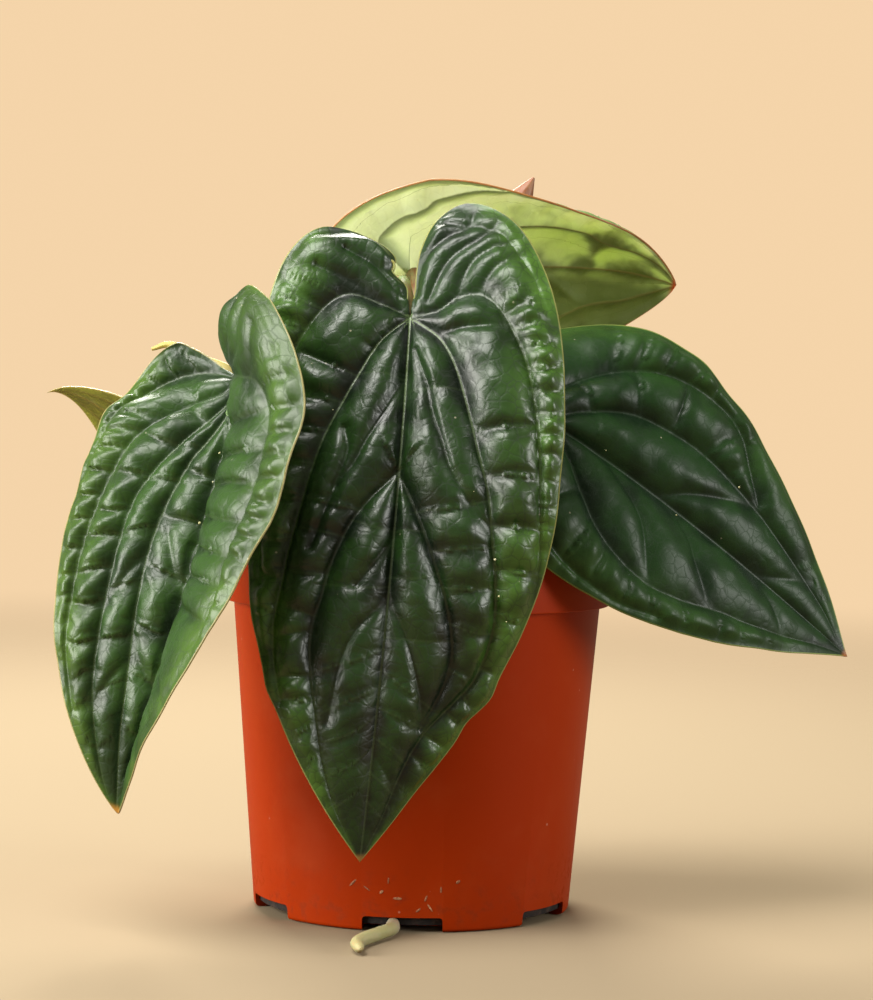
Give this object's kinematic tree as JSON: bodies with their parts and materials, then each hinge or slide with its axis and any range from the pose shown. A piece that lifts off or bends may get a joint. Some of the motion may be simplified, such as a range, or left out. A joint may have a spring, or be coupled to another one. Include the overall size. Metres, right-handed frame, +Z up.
{
  "type": "potted anthurium",
  "caption": "Small houseplant with drooping, heart-shaped, quilted leaves on stalks, growing from soil in a tapered nursery pot.",
  "frame": {"origin": "middle of the pot's flat underside", "axes": "+Z up along the pot's axis; -Y is the front, where the largest leaf hangs; +X is to the right seen from the front"},
  "size_m": [0.2533, 0.1655, 0.2322],
  "materials": {
    "pot_plastic": "satin",
    "soil": "matte",
    "crown_bark": "matte",
    "root": "matte",
    "leaf_dark": "gloss",
    "leaf_pale": "satin",
    "leaf_olive": "satin",
    "leaf_red": "satin",
    "stalk": "satin"
  },
  "bodies": {
    "root": {"pot": "pot_plastic", "soil": "soil", "crown": "crown_bark", "root": "root", "leaf_front_blade": "leaf_dark", "leaf_front_stalk": "stalk", "leaf_left_blade": "leaf_dark", "leaf_left_stalk": "stalk", "leaf_right_blade": "leaf_dark", "leaf_right_stalk": "stalk", "leaf_back_blade": "leaf_pale", "leaf_back_stalk": "stalk", "leaf_young_blade": "leaf_olive", "leaf_young_stalk": "stalk", "leaf_new_red": "leaf_red", "leaf_new_olive": "leaf_olive"}
  },
  "joints": []
}
